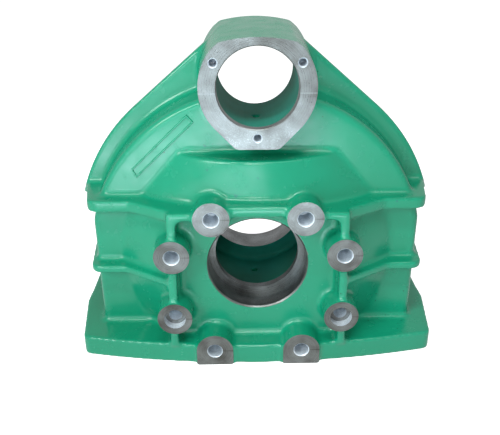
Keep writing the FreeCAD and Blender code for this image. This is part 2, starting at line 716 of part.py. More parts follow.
# Oil holes: one through the barrel's floor, and a drain from the tunnel through the foot.
sketch = new_sketch("BarrelOilHole", "XY_Plane", top_axis)
circle_at(sketch, (0, s.ring_face + s.barrel_oil_gap), s.oil_hole_radius)
extrude("Pocket", "BarrelOil", sketch, s.ring_bottom_height + s.wall)
sketch = new_sketch("DrainHole", "XY_Plane")
circle_at(sketch, (0, rear_wall_face - s.oil_hole_gap), s.oil_hole_radius)
extrude("Pocket", "Drain", sketch, s.main_axis_height, backward=True)

# The casting stands on its foot with the middle of its outline over the origin.
body.setExpression("Placement.Base.y", (-(s.overall_depth / 2)).formula)
doc.recompute()

for item in doc.Objects:
    if "Invalid" in item.State or "Error" in item.State:
        raise RuntimeError(f"{item.Name} failed: {item.State}")
if body.Shape.isNull() or not body.Shape.isValid() or len(body.Shape.Solids) != 1:
    raise RuntimeError("the casting is not one valid solid")
os.makedirs("parts", exist_ok=True)
body.Shape.exportStep(f"parts/{NODE}.step")
box = body.Shape.BoundBox
print(f"{NODE}: {box.XLength:.1f} x {box.YLength:.1f} x {box.ZLength:.1f} mm, "
      f"{body.Shape.Volume / 1000:.0f} cm3")
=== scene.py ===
import bmesh
import bpy
import math
import numpy as np
from mathutils import Matrix, Vector


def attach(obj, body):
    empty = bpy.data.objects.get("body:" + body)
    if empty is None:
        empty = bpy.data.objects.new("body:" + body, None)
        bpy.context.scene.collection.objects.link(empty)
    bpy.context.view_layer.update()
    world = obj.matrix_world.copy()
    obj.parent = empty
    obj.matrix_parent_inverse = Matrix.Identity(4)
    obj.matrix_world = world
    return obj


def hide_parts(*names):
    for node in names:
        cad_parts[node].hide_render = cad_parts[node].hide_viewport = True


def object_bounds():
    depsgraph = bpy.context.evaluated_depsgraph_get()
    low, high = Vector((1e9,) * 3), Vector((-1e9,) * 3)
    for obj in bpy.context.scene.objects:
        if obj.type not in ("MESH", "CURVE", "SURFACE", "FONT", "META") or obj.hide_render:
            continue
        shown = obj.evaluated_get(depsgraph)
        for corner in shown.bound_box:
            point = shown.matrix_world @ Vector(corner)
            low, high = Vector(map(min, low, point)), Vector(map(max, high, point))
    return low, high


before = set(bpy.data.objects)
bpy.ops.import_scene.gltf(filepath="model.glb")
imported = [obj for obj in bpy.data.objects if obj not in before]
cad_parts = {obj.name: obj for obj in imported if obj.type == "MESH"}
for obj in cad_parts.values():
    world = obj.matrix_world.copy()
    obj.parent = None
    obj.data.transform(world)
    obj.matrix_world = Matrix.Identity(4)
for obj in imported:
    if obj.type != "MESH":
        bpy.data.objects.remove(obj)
cad_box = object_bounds()

# The raw casting: grey iron poured in a sand mould, so every inside corner has a fillet and every
# outside edge is a little round. It starts as the construction's own solid, with stock left on the
# faces that are machined later, with the drilled holes filled and the bearing seats cast undersize.
NODE = "housing_casting"
MM = 0.001
FRONT = cad_box[0].y
BACK = cad_box[1].y
RING_FACE = FRONT + 26 * MM
BARREL_BACK = FRONT + 160 * MM
LOW_AXIS = 125.5 * MM
TOP_AXIS = 340.5 * MM
RING_FOOT = 266 * MM
STOCK = 6 * MM
BOSS_PAIRS = ((53.5, 20.5), (53.5, 198.5), (100.5, 151.25), (100.5, 67.75))
BOSSES = [(side * x * MM, z * MM) for x, z in BOSS_PAIRS for side in (-1, 1)]


def pitch_circle(holes, reach, first, height):
    """Centres (x, z) of holes at even steps round a bore's axis, the first one at an angle in degrees."""
    turns = [math.radians(first + step * 360 / holes) for step in range(holes)]
    return [(reach * math.cos(turn), height + reach * math.sin(turn)) for turn in turns]


RING_CIRCLE = 55 * MM
COVER_CIRCLE = 83 * MM
RING_HOLES = pitch_circle(3, RING_CIRCLE, 30, TOP_AXIS)
COVER_HOLES = pitch_circle(6, COVER_CIRCLE, 0, LOW_AXIS)


def new_object(name, shape):
    """An object of that name with the bmesh's geometry."""
    bmesh.ops.recalc_face_normals(shape, faces=shape.faces)
    mesh = bpy.data.meshes.new(name)
    shape.to_mesh(mesh)
    shape.free()
    thing = bpy.data.objects.new(name, mesh)
    bpy.context.scene.collection.objects.link(thing)
    return thing


def turn_solid(shape, x, z, profile, sides=96, ring=False):
    """A turned solid about a line along Y at (x, z), from a list of (y, radius). A ring has no end faces."""
    rows = []
    for y, radius in profile:
        turns = [2 * math.pi * step / sides for step in range(sides)]
        rows.append([shape.verts.new((x + radius * math.cos(turn), y, z + radius * math.sin(turn)))
                     for turn in turns])
    pairs = list(zip(rows, rows[1:]))
    if ring:
        pairs.append((rows[-1], rows[0]))
    else:
        shape.faces.new(rows[0])
        shape.faces.new(rows[-1])
    for one, two in pairs:
        for step in range(sides):
            after = (step + 1) % sides
            shape.faces.new((one[step], two[step], two[after], one[after]))


def core_ring(shape, z, inner, outer, y_low, y_high):
    """Iron that is left in a bearing seat for boring."""
    turn_solid(shape, 0, z, [(y_low, inner * MM), (y_high, inner * MM), (y_high, outer * MM),
                             (y_low, outer * MM)], ring=True)


shape = bmesh.new()
shape.from_mesh(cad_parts[NODE].data)
bmesh.ops.remove_doubles(shape, verts=shape.verts, dist=1e-6)
for face_y, outward in ((FRONT, -1), (RING_FACE, -1), (BACK, 1), (BARREL_BACK, 1)):
    milled = [face for face in shape.faces
              if abs(face.calc_center_median().y - face_y) < 1e-5 and face.normal.y * outward > 0.99]
    grown = bmesh.ops.extrude_face_region(shape, geom=milled)["geom"]
    bmesh.ops.translate(shape, verts=[item for item in grown if isinstance(item, bmesh.types.BMVert)],
                        vec=(0, outward * STOCK, 0))
    bmesh.ops.delete(shape, geom=milled, context="FACES_ONLY")
for x, z in BOSSES:
    turn_solid(shape, x, z, [(FRONT - STOCK, 15 * MM), (FRONT + 42 * MM, 15 * MM)])
for x, z in RING_HOLES:
    turn_solid(shape, x, z, [(RING_FACE - STOCK, 6.5 * MM), (RING_FACE + 26 * MM, 6.5 * MM)])
for x, z in COVER_HOLES:
    turn_solid(shape, x, z, [(BACK - 26 * MM, 6 * MM), (BACK + STOCK, 6 * MM)])
core_ring(shape, LOW_AXIS, 46, 64, FRONT + 30 * MM, FRONT + 74 * MM)
core_ring(shape, LOW_AXIS, 64, 74, FRONT + 214 * MM, BACK + STOCK)
core_ring(shape, TOP_AXIS, 40, 49, RING_FACE - STOCK, RING_FACE + 9 * MM)
core_ring(shape, TOP_AXIS, 42, 52, BARREL_BACK - 10 * MM, BARREL_BACK + STOCK)


def block(shape, low, high):
    """A plain box between two corners."""
    made = bmesh.ops.create_cube(shape, size=1)["verts"]
    bmesh.ops.scale(shape, vec=Vector(high) - Vector(low), verts=made)
    bmesh.ops.translate(shape, vec=(Vector(high) + Vector(low)) / 2, verts=made)


# The wall runs on unbroken from the top of the brow to the barrel, where the construction leaves a slit.
# Two blocks of iron fill it before the skin is made, so that the fillets run over them.
block(shape, (-71 * MM, FRONT + 47 * MM, 248 * MM), (71 * MM, FRONT + 73.5 * MM, 257 * MM))
block(shape, (-73 * MM, FRONT + 62 * MM, 248 * MM), (73 * MM, FRONT + 73.5 * MM, 286 * MM))
casting = new_object("gearbox_casting", shape)

# Its sand-cast skin: a closed mesh of even grain, swollen and shrunk again by the fillet's radius. That
# fills the inside corners as the pattern maker's fillets do. The outside edges are then worn a little, as
# they are once the casting has been fettled.
GRAIN = 1.8 * MM
FILLET = 2.8 * MM
MOST_TRIANGLES = 150000


def apply_modifiers(thing):
    """Turns the object's modifiers into its plain mesh."""
    graph = bpy.context.evaluated_depsgraph_get()
    graph.update()
    mesh = bpy.data.meshes.new_from_object(thing.evaluated_get(graph))
    thing.modifiers.clear()
    old = thing.data
    thing.data = mesh
    bpy.data.meshes.remove(old)


def regrain(thing, swelling):
    """An even mesh of the object, each point then moved out by the swelling."""
    cubes = thing.modifiers.new("grain", "REMESH")
    cubes.mode = "VOXEL"
    cubes.voxel_size = GRAIN
    apply_modifiers(thing)
    mesh = thing.data
    place = np.empty(len(mesh.vertices) * 3, np.float32)
    normal = np.empty(len(mesh.vertices) * 3, np.float32)
    mesh.vertices.foreach_get("co", place)
    mesh.vertex_normals.foreach_get("vector", normal)
    mesh.vertices.foreach_set("co", place + normal * swelling)
    mesh.update()


regrain(casting, FILLET)
regrain(casting, -FILLET)
regrain(casting, 0)
wear = casting.modifiers.new("worn edges", "SMOOTH")
wear.iterations = 2
apply_modifiers(casting)
thin = casting.modifiers.new("fewer faces", "DECIMATE")
thin.ratio = MOST_TRIANGLES / (2 * len(casting.data.polygons))
apply_modifiers(casting)

# Its milled faces: one pass over all eight bosses, one over the upper ring, and two at the back. The two
# lowest bosses run down the foot as tabs. The bosses' faces stand a little proud of the painted bars
# round them, which are cast lower.
SPOT_DEPTH = 1.2 * MM
BOSS_RADIUS = 21 * MM
TAB_RADIUS = 22.5 * MM


def take_away(thing, cutter):
    """Cuts the cutter's shape out of the object and removes the cutter."""
    tool = thing.modifiers.new(cutter.name, "BOOLEAN")
    tool.operation = "DIFFERENCE"
    tool.solver = "MANIFOLD"
    tool.object = cutter
    apply_modifiers(thing)
    bpy.data.objects.remove(cutter)


TABLE = 300 * MM
RING_REACH = 90 * MM
shape = bmesh.new()
block(shape, (-TABLE, FRONT - 50 * MM, -50 * MM), (TABLE, FRONT, TABLE))
block(shape, (-RING_REACH, RING_FACE - 20 * MM, RING_FOOT), (RING_REACH, RING_FACE, 420 * MM))
block(shape, (-120 * MM, BACK, 0), (120 * MM, BACK + 50 * MM, 250 * MM))
block(shape, (-RING_REACH, BARREL_BACK, RING_FOOT), (RING_REACH, BARREL_BACK + 50 * MM, 420 * MM))
take_away(casting, new_object("face_cutters", shape))

shape = bmesh.new()
block(shape, (-TABLE, FRONT - 50 * MM, -50 * MM), (TABLE, FRONT + SPOT_DEPTH, TABLE))
around = new_object("around_the_bosses", shape)
AHEAD = FRONT - 100 * MM
BEHIND = FRONT + 10 * MM
UNDER = -100 * MM
HALF_TURN = 32
shape = bmesh.new()
for x, z in BOSSES:
    if z > TAB_RADIUS:
        turn_solid(shape, x, z, [(AHEAD, BOSS_RADIUS), (BEHIND, BOSS_RADIUS)])
        continue
    outline = [(x - TAB_RADIUS, UNDER), (x + TAB_RADIUS, UNDER)]
    for step in range(HALF_TURN + 1):
        turn = math.pi * step / HALF_TURN
        outline.append((x + TAB_RADIUS * math.cos(turn), z + TAB_RADIUS * math.sin(turn)))
    near = [shape.verts.new((px, AHEAD, pz)) for px, pz in outline]
    far = [shape.verts.new((px, BEHIND, pz)) for px, pz in outline]
    for step in range(len(outline)):
        after = (step + 1) % len(outline)
        shape.faces.new((near[step], near[after], far[after], far[step]))
    shape.faces.new(near)
    shape.faces.new(far)
take_away(around, new_object("boss_faces", shape))
take_away(casting, around)

# Its drilled holes: screw holes in the bosses and tapping holes on the pitch circles of the two covers,
# each with a countersunk mouth and a drill point, and two dowel holes with a flat counterbore. The sizes
# are radii and depths in millimetres.
CLEARANCE = 8.75
DOWEL = 8.0
COUNTERBORE = 13
COUNTERBORE_DEPTH = 11
TAPPING = 4.25
TAPPING_MOUTH = 1.2
BOSS_DEPTH = 32
SHANK = -8
POINT = 0.3


def through_maths(tree, operation, first, second=0.0):
    """A Math node of the tree. Each value is a number or another node's socket."""
    node = tree.nodes.new("ShaderNodeMath")
    node.operation = operation
    for socket, value in zip(node.inputs, (first, second)):
        if isinstance(value, bpy.types.NodeSocket):
            tree.links.new(value, socket)
        else:
            socket.default_value = value
    return node.outputs[0]


def pitch_circle_tree():
    """Copies of a drill's shape at even steps round a centre, all pointing along Y."""
    tree = bpy.data.node_groups.new("holes_on_a_pitch_circle", "GeometryNodeTree")
    for name, kind in (("Holes", "Int"), ("Pitch Radius", "Float"), ("First Angle", "Float"),
                       ("Centre", "Vector"), ("Drill", "Object"), ("Metal", "Material")):
        tree.interface.new_socket(name, in_out="INPUT", socket_type="NodeSocket" + kind)
    tree.interface.new_socket("Geometry", in_out="OUTPUT", socket_type="NodeSocketGeometry")
    sizes = tree.nodes.new("NodeGroupInput").outputs
    index = tree.nodes.new("GeometryNodeInputIndex").outputs[0]
    step = through_maths(tree, "DIVIDE", 2 * math.pi, sizes["Holes"])
    angle = through_maths(tree, "ADD", through_maths(tree, "MULTIPLY", index, step), sizes["First Angle"])
    spot = tree.nodes.new("ShaderNodeCombineXYZ")
    for axis, wave in (("X", "COSINE"), ("Z", "SINE")):
        reach = through_maths(tree, "MULTIPLY", through_maths(tree, wave, angle), sizes["Pitch Radius"])
        tree.links.new(reach, spot.inputs[axis])
    centred = tree.nodes.new("ShaderNodeVectorMath")
    tree.links.new(spot.outputs[0], centred.inputs[0])
    tree.links.new(sizes["Centre"], centred.inputs[1])
    points = tree.nodes.new("GeometryNodePoints")
    tree.links.new(sizes["Holes"], points.inputs["Count"])
    tree.links.new(centred.outputs[0], points.inputs["Position"])
    drill = tree.nodes.new("GeometryNodeObjectInfo")
    tree.links.new(sizes["Drill"], drill.inputs["Object"])
    copies = tree.nodes.new("GeometryNodeInstanceOnPoints")
    tree.links.new(points.outputs[0], copies.inputs["Points"])
    tree.links.new(drill.outputs["Geometry"], copies.inputs["Instance"])
    solid = tree.nodes.new("GeometryNodeRealizeInstances")
    tree.links.new(copies.outputs[0], solid.inputs[0])
    metal = tree.nodes.new("GeometryNodeSetMaterial")
    tree.links.new(solid.outputs[0], metal.inputs["Geometry"])
    tree.links.new(sizes["Metal"], metal.inputs["Material"])
    tree.links.new(metal.outputs[0], tree.nodes.new("NodeGroupOutput").inputs[0])
    return tree


def material(name, colour, roughness, metallic=0.0):
    """A new material, its node tree and its shader."""
    made = bpy.data.materials.new(name)
    made.use_nodes = True
    shader = made.node_tree.nodes["Principled BSDF"]
    shader.inputs["Base Color"].default_value = (*colour, 1)
    shader.inputs["Roughness"].default_value = roughness
    shader.inputs["Metallic"].default_value = metallic
    return made, made.node_tree, shader


def twist_drill(radius, mouth, depth, point):
    """Profile of a drill with its countersink, from its shank to its point, as (depth, radius)."""
    return [(SHANK, radius + mouth), (0, radius + mouth), (mouth, radius), (depth, radius),
            (depth + point, POINT)]


PITCH_CIRCLES = pitch_circle_tree()
iron, iron_tree, iron_shader = material("machined_iron", (0.36, 0.36, 0.35), 0.36, 1.0)
screw_drill = twist_drill(CLEARANCE, 1, BOSS_DEPTH, 5)
dowel_drill = [(SHANK, COUNTERBORE), (COUNTERBORE_DEPTH, COUNTERBORE), (COUNTERBORE_DEPTH + 0.02, DOWEL),
               (BOSS_DEPTH, DOWEL), (BOSS_DEPTH + 5, POINT)]
tapping_drill = twist_drill(TAPPING, TAPPING_MOUTH, 22, 2.5)
boss_drills = (screw_drill, screw_drill, screw_drill, dowel_drill)
patterns = [(2, x * MM, 0, z * MM, FRONT, 1, profile) for (x, z), profile in zip(BOSS_PAIRS, boss_drills)]
patterns.append((3, RING_CIRCLE, 30, TOP_AXIS, RING_FACE, 1, tapping_drill))
patterns.append((6, COVER_CIRCLE, 0, LOW_AXIS, BACK, -1, tapping_drill))
all_drills = bmesh.new()
for holes, reach, first, height, face_y, inward, profile in patterns:
    shape = bmesh.new()
    turn_solid(shape, 0, 0, [(inward * depth * MM, radius * MM) for depth, radius in profile], sides=40)
    drill = new_object("drill", shape)
    pattern = new_object("drill_pattern", bmesh.new())
    tool = pattern.modifiers.new("pattern", "NODES")
    tool.node_group = PITCH_CIRCLES
    values = {"Holes": holes, "Pitch Radius": reach, "First Angle": math.radians(first),
              "Centre": (0, face_y, height), "Drill": drill, "Metal": iron}
    for item in PITCH_CIRCLES.interface.items_tree:
        if item.in_out == "INPUT":
            tool[item.identifier] = values[item.name]
    apply_modifiers(pattern)
    all_drills.from_mesh(pattern.data)
    bpy.data.objects.remove(pattern)
    bpy.data.objects.remove(drill)
take_away(casting, new_object("all_drills", all_drills))

# Its bores: the two bearing seats of the lower shaft and the two of the upper one, each with a lead-in
# chamfer, and the oil holes in the barrel's floor and at the bottom of the gear tunnel. The sizes are
# radii in millimetres.
WALL = FRONT + 30 * MM
FRONT_SEAT = 60
SHOULDER = 52
REAR_SEAT = 70
RING_SEAT = 45
BARREL_SEAT = 50
RELIEF = 47.4
LEAD_IN = 1.5
TOP_LEAD_IN = 1
OIL_HOLE = 4.5


def bore(shape, z, profile):
    """A boring bar's cut about the axis at height z, from (y in metres, radius in millimetres)."""
    turn_solid(shape, 0, z, [(y, radius * MM) for y, radius in profile], sides=160)


shape = bmesh.new()
bore(shape, LOW_AXIS, [(WALL - 12 * MM, FRONT_SEAT + LEAD_IN), (WALL, FRONT_SEAT + LEAD_IN),
                       (WALL + LEAD_IN * MM, FRONT_SEAT), (WALL + 34 * MM, FRONT_SEAT),
                       (WALL + 34.02 * MM, SHOULDER), (WALL + 46 * MM, SHOULDER)])
bore(shape, LOW_AXIS, [(BACK - 56 * MM, REAR_SEAT), (BACK - LEAD_IN * MM, REAR_SEAT),
                       (BACK, REAR_SEAT + LEAD_IN), (BACK + 8 * MM, REAR_SEAT + LEAD_IN)])
bore(shape, TOP_AXIS, [(RING_FACE - 9 * MM, RING_SEAT + TOP_LEAD_IN), (RING_FACE, RING_SEAT + TOP_LEAD_IN),
                       (RING_FACE + TOP_LEAD_IN * MM, RING_SEAT), (RING_FACE + 20 * MM, RING_SEAT)])
bore(shape, TOP_AXIS, [(BARREL_BACK - 22 * MM, RELIEF), (BARREL_BACK - 10 * MM, RELIEF),
                       (BARREL_BACK - 9.98 * MM, BARREL_SEAT), (BARREL_BACK - TOP_LEAD_IN * MM, BARREL_SEAT),
                       (BARREL_BACK, BARREL_SEAT + TOP_LEAD_IN),
                       (BARREL_BACK + 8 * MM, BARREL_SEAT + TOP_LEAD_IN)])
for along, low, high in ((92, 262, 300), (181, -10, 36)):
    place = Matrix.Translation((0, FRONT + along * MM, (low + high) / 2 * MM))
    bmesh.ops.create_cone(shape, cap_ends=True, segments=40, radius1=OIL_HOLE * MM, radius2=OIL_HOLE * MM,
                          depth=(high - low) * MM, matrix=place)
take_away(casting, new_object("boring_bars", shape))
for polygon in casting.data.polygons:
    polygon.use_smooth = True
casting.data.set_sharp_from_angle(angle=math.radians(32))

# Its finishes: green gloss enamel over the sand-cast skin, with dark specks and a few small dents that the
# paint has run into, bare iron with the cutters' round marks on all machined faces, brighter bored bearing
# seats, and the walls of the drilled holes, painted a pale grey far lighter than the iron: painted light for
# the light that reaches down into them.
DENTS = ((-24.9, -106.4, 218.3, 2.2), (-57.7, -92.6, 245.2, 1.3), (0.3, -103.8, 239.0, 1.2),
         (166.1, -85.5, 200.8, 1.6), (-82.7, -67.5, 261.0, 1.1), (-60.4, -67.5, 265.6, 1.4),
         (-28.0, -99.0, 81.7, 1.6), (-52.0, -67.5, 268.0, 0.9))


def mottle_group():
    """Uneven patches and a fine grain on a surface, shared by the enamel and the iron."""
    tree = bpy.data.node_groups.new("mottle_and_grain", "ShaderNodeTree")
    tree.interface.new_socket("Vector", in_out="INPUT", socket_type="NodeSocketVector")
    for name, value in (("Patch Scale", 9.0), ("Grain Scale", 300.0)):
        tree.interface.new_socket(name, in_out="INPUT", socket_type="NodeSocketFloat").default_value = value
    for name in ("Patches", "Grain"):
        tree.interface.new_socket(name, in_out="OUTPUT", socket_type="NodeSocketFloat")
    sizes = tree.nodes.new("NodeGroupInput").outputs
    result = tree.nodes.new("NodeGroupOutput")
    for name, scale, detail in (("Patches", "Patch Scale", 4), ("Grain", "Grain Scale", 2)):
        noise = tree.nodes.new("ShaderNodeTexNoise")
        noise.inputs["Detail"].default_value = detail
        tree.links.new(sizes["Vector"], noise.inputs["Vector"])
        tree.links.new(sizes[scale], noise.inputs["Scale"])
        tree.links.new(noise.outputs["Fac"], result.inputs[name])
    return tree


MOTTLE = mottle_group()


def mottle(tree, vector, patch_scale, grain_scale):
    """The outputs of a mottle group with its own scales."""
    node = tree.nodes.new("ShaderNodeGroup")
    node.node_tree = MOTTLE
    tree.links.new(vector, node.inputs["Vector"])
    node.inputs["Patch Scale"].default_value = patch_scale
    node.inputs["Grain Scale"].default_value = grain_scale
    return node.outputs


def spread(tree, value, low, high, from_low=0.0, from_high=1.0):
    """The value stretched from one range to another, and held inside it."""
    node = tree.nodes.new("ShaderNodeMapRange")
    for name, number in (("From Min", from_low), ("From Max", from_high), ("To Min", low), ("To Max", high)):
        node.inputs[name].default_value = number
    tree.links.new(value, node.inputs["Value"])
    return node.outputs["Result"]


def mix_colours(tree, factor, first, second):
    """A colour between two, each a tuple or another node's socket."""
    node = tree.nodes.new("ShaderNodeMix")
    node.data_type = "RGBA"
    tree.links.new(factor, node.inputs[0])
    for socket, colour in ((node.inputs[6], first), (node.inputs[7], second)):
        if isinstance(colour, bpy.types.NodeSocket):
            tree.links.new(colour, socket)
        else:
            socket.default_value = (*colour, 1)
    return node.outputs[2]


def bump(tree, shader, height, strength, distance):
    """A bump on the shader's normal."""
    node = tree.nodes.new("ShaderNodeBump")
    node.inputs["Strength"].default_value = strength
    node.inputs["Distance"].default_value = distance
    tree.links.new(height, node.inputs["Height"])
    tree.links.new(node.outputs[0], shader.inputs["Normal"])


enamel, tree, shader = material("green_enamel", (0.006, 0.25, 0.13), 0.3)
place = tree.nodes.new("ShaderNodeTexCoord").outputs["Object"]
surface = mottle(tree, place, 7.0, 230.0)
sand = mottle(tree, place, 60.0, 900.0)
shade = spread(tree, surface["Patches"], 0, 1, 0.3, 0.7)
paint = mix_colours(tree, shade, (0.003, 0.225, 0.118), (0.005, 0.27, 0.15))
ragged_edge = spread(tree, sand["Grain"], 0.4, 1.6, 0.3, 0.7)
dented = None
for x, y, z, radius in DENTS:
    away = tree.nodes.new("ShaderNodeVectorMath")
    away.operation = "DISTANCE"
    tree.links.new(place, away.inputs[0])
    away.inputs[1].default_value = (x * MM, y * MM, z * MM)
    ragged = through_maths(tree, "MULTIPLY", away.outputs["Value"], ragged_edge)
    spot = spread(tree, ragged, 1, 0, radius * MM * 0.8, radius * MM)
    dented = spot if dented is None else through_maths(tree, "MAXIMUM", dented, spot)
specks = tree.nodes.new("ShaderNodeTexVoronoi")
specks.inputs["Scale"].default_value = 85
tree.links.new(place, specks.inputs["Vector"])
near_speck = spread(tree, specks.outputs["Distance"], 1, 0, 0.05, 0.08)
dirty = spread(tree, surface["Patches"], 0, 1, 0.54, 0.58)
speckled = through_maths(tree, "MULTIPLY", near_speck, dirty)
paint = mix_colours(tree, speckled, paint, (0.004, 0.07, 0.04))
paint = mix_colours(tree, dented, paint, (0.012, 0.17, 0.12))
tree.links.new(paint, shader.inputs["Base Color"])
tree.links.new(spread(tree, sand["Patches"], 0.17, 0.3, 0.3, 0.7), shader.inputs["Roughness"])
height = through_maths(tree, "ADD", surface["Grain"], through_maths(tree, "MULTIPLY", sand["Grain"], 0.25))
bump(tree, shader, through_maths(tree, "SUBTRACT", height, dented), 0.22, 0.08 * MM)

# Further than FACE_REACH from a cut's centre the face is a wide one. Two passes of the mill meet on it,
# PASS_EDGE below the centre. A wide face is also painted a little lighter, a painted reflection standing in
# for the brighter reflection it gives.
FACE_REACH = 44 * MM
PASS_EDGE = 5 * MM


def cutter_marks_group():
    """The rings that a turning cutter leaves about a hole, in a dark and a light tone of the metal. A drilled
    boss also shows where the cut starts, and a wide face the edge between two passes of the mill. A wide face
    is also painted a little lighter overall, as a painted reflection."""
    tree = bpy.data.node_groups.new("cutter_marks", "ShaderNodeTree")
    for way, name, kind in (("INPUT", "Dark", "Color"), ("INPUT", "Light", "Color"),
                            ("INPUT", "Ring Scale", "Float"), ("INPUT", "Start Line", "Float"),
                            ("OUTPUT", "Colour", "Color"), ("OUTPUT", "Roughness", "Float"),
                            ("OUTPUT", "Rings", "Float")):
        tree.interface.new_socket(name, in_out=way, socket_type="NodeSocket" + kind)
    sizes = tree.nodes.new("NodeGroupInput").outputs
    result = tree.nodes.new("NodeGroupOutput")
    centred = tree.nodes.new("ShaderNodeAttribute")
    centred.attribute_name = "from_cutter"
    parts = tree.nodes.new("ShaderNodeSeparateXYZ")
    tree.links.new(centred.outputs["Vector"], parts.inputs[0])
    flat = tree.nodes.new("ShaderNodeCombineXYZ")
    tree.links.new(parts.outputs["X"], flat.inputs["X"])
    tree.links.new(parts.outputs["Z"], flat.inputs["Z"])
    reach = tree.nodes.new("ShaderNodeVectorMath")
    reach.operation = "LENGTH"
    tree.links.new(flat.outputs[0], reach.inputs[0])
    along = through_maths(tree, "ADD", reach.outputs["Value"], parts.outputs["Y"])
    rings = tree.nodes.new("ShaderNodeTexNoise")
    rings.noise_dimensions = "1D"
    rings.inputs["Detail"].default_value = 3
    tree.links.new(sizes["Ring Scale"], rings.inputs["Scale"])
    tree.links.new(along, rings.inputs["W"])
    place = tree.nodes.new("ShaderNodeTexCoord").outputs["Object"]
    stains = mottle(tree, place, 40.0, 700.0)
    tone = through_maths(tree, "ADD", through_maths(tree, "MULTIPLY", rings.outputs["Fac"], 0.4),
                         through_maths(tree, "MULTIPLY", stains["Patches"], 0.6))
    tone = spread(tree, tone, 0, 1, 0.35, 0.65)
    wide = through_maths(tree, "GREATER_THAN", reach.outputs["Value"], FACE_REACH)
    angle = through_maths(tree, "ARCTAN2", parts.outputs["Z"], parts.outputs["X"])
    start = spread(tree, through_maths(tree, "ABSOLUTE", angle), 1, 0, 0.02, 0.06)
    start = through_maths(tree, "MULTIPLY", start, sizes["Start Line"])
    start = through_maths(tree, "MULTIPLY", start, through_maths(tree, "SUBTRACT", 1.0, wide))
    tone = through_maths(tree, "SUBTRACT", tone, start)
    edge = through_maths(tree, "ABSOLUTE", through_maths(tree, "ADD", parts.outputs["Z"], PASS_EDGE))
    edge = through_maths(tree, "MULTIPLY", spread(tree, edge, 0.5, 0, 0.3 * MM, 0.9 * MM), wide)
    # Painted reflection: a wide face is made lighter overall, standing in for the brighter reflection it
    # gives.
    tone = through_maths(tree, "ADD", tone, through_maths(tree, "MULTIPLY", wide, 0.15))
    tone = through_maths(tree, "ADD", tone, edge)
    metal = mix_colours(tree, spread(tree, tone, 0, 1), sizes["Dark"], sizes["Light"])
    rough = through_maths(tree, "ADD", rings.outputs["Fac"], stains["Grain"])
    tree.links.new(metal, result.inputs["Colour"])
    tree.links.new(spread(tree, rough, 0.24, 0.46, 0.7, 1.3), result.inputs["Roughness"])
    tree.links.new(rings.outputs["Fac"], result.inputs["Rings"])
    return tree


CUTTER_MARKS = cutter_marks_group()


def cutter_marks(tree, shader, dark, light, ring_scale, start_line=0.0):
    """Gives a bare metal the cutter's marks in its own two tones."""
    node = tree.nodes.new("ShaderNodeGroup")
    node.node_tree = CUTTER_MARKS
    node.inputs["Dark"].default_value = (*dark, 1)
    node.inputs["Light"].default_value = (*light, 1)
    node.inputs["Ring Scale"].default_value = ring_scale
    node.inputs["Start Line"].default_value = start_line
    tree.links.new(node.outputs["Colour"], shader.inputs["Base Color"])
    tree.links.new(node.outputs["Roughness"], shader.inputs["Roughness"])
    bump(tree, shader, node.outputs["Rings"], 0.2, 0.04 * MM)


cutter_marks(iron_tree, iron_shader, (0.075, 0.07, 0.064), (0.22, 0.227, 0.223), 1700.0, start_line=0.4)
seat, tree, shader = material("bored_seat", (0.2, 0.21, 0.21), 0.3, 1.0)
cutter_marks(tree, shader, (0.06, 0.064, 0.064), (0.24, 0.255, 0.26), 1600.0)
# Painted light: the drilled walls are a pale grey, far lighter than the machined iron, standing in for the
# light that reaches down into the holes.
drilled, tree, shader = material("drilled_wall_painted_light", (0.5, 0.54, 0.58), 0.45, 0.35)
cutter_marks(tree, shader, (0.4, 0.44, 0.48), (0.78, 0.83, 0.88), 900.0)

# The inside of the barrel and of the gear tunnel has one thin matt coat, brushed on to hold the moulding
# sand back from the oil. It is a little darker and bluer than the enamel outside.
inner_paint, tree, shader = material("inner_paint", (0.008, 0.17, 0.12), 0.6)
shader.inputs["Specular IOR Level"].default_value = 0.2
place = tree.nodes.new("ShaderNodeTexCoord").outputs["Object"]
surface = mottle(tree, place, 14.0, 400.0)
shade = spread(tree, surface["Patches"], 0, 1, 0.3, 0.7)
coat = mix_colours(tree, shade, (0.006, 0.18, 0.115), (0.016, 0.27, 0.21))
tree.links.new(coat, shader.inputs["Base Color"])
bump(tree, shader, surface["Grain"], 0.3, 0.15 * MM)

# Which finish each face gets. A face belongs to a cut up to EDGE millimetres past the cut's own radius.
ENAMEL, FACE, SEAT, DRILLED, INNER_PAINT = range(5)
SAME_PLANE = 0.05 * MM
EDGE = 0.1


def in_turn(middle, axis_x, axis_z, radius, low, high):
    """Whether a face's middle is inside a turned cut along Y."""
    return low < middle.y < high and math.hypot(middle.x - axis_x, middle.z - axis_z) < radius * MM


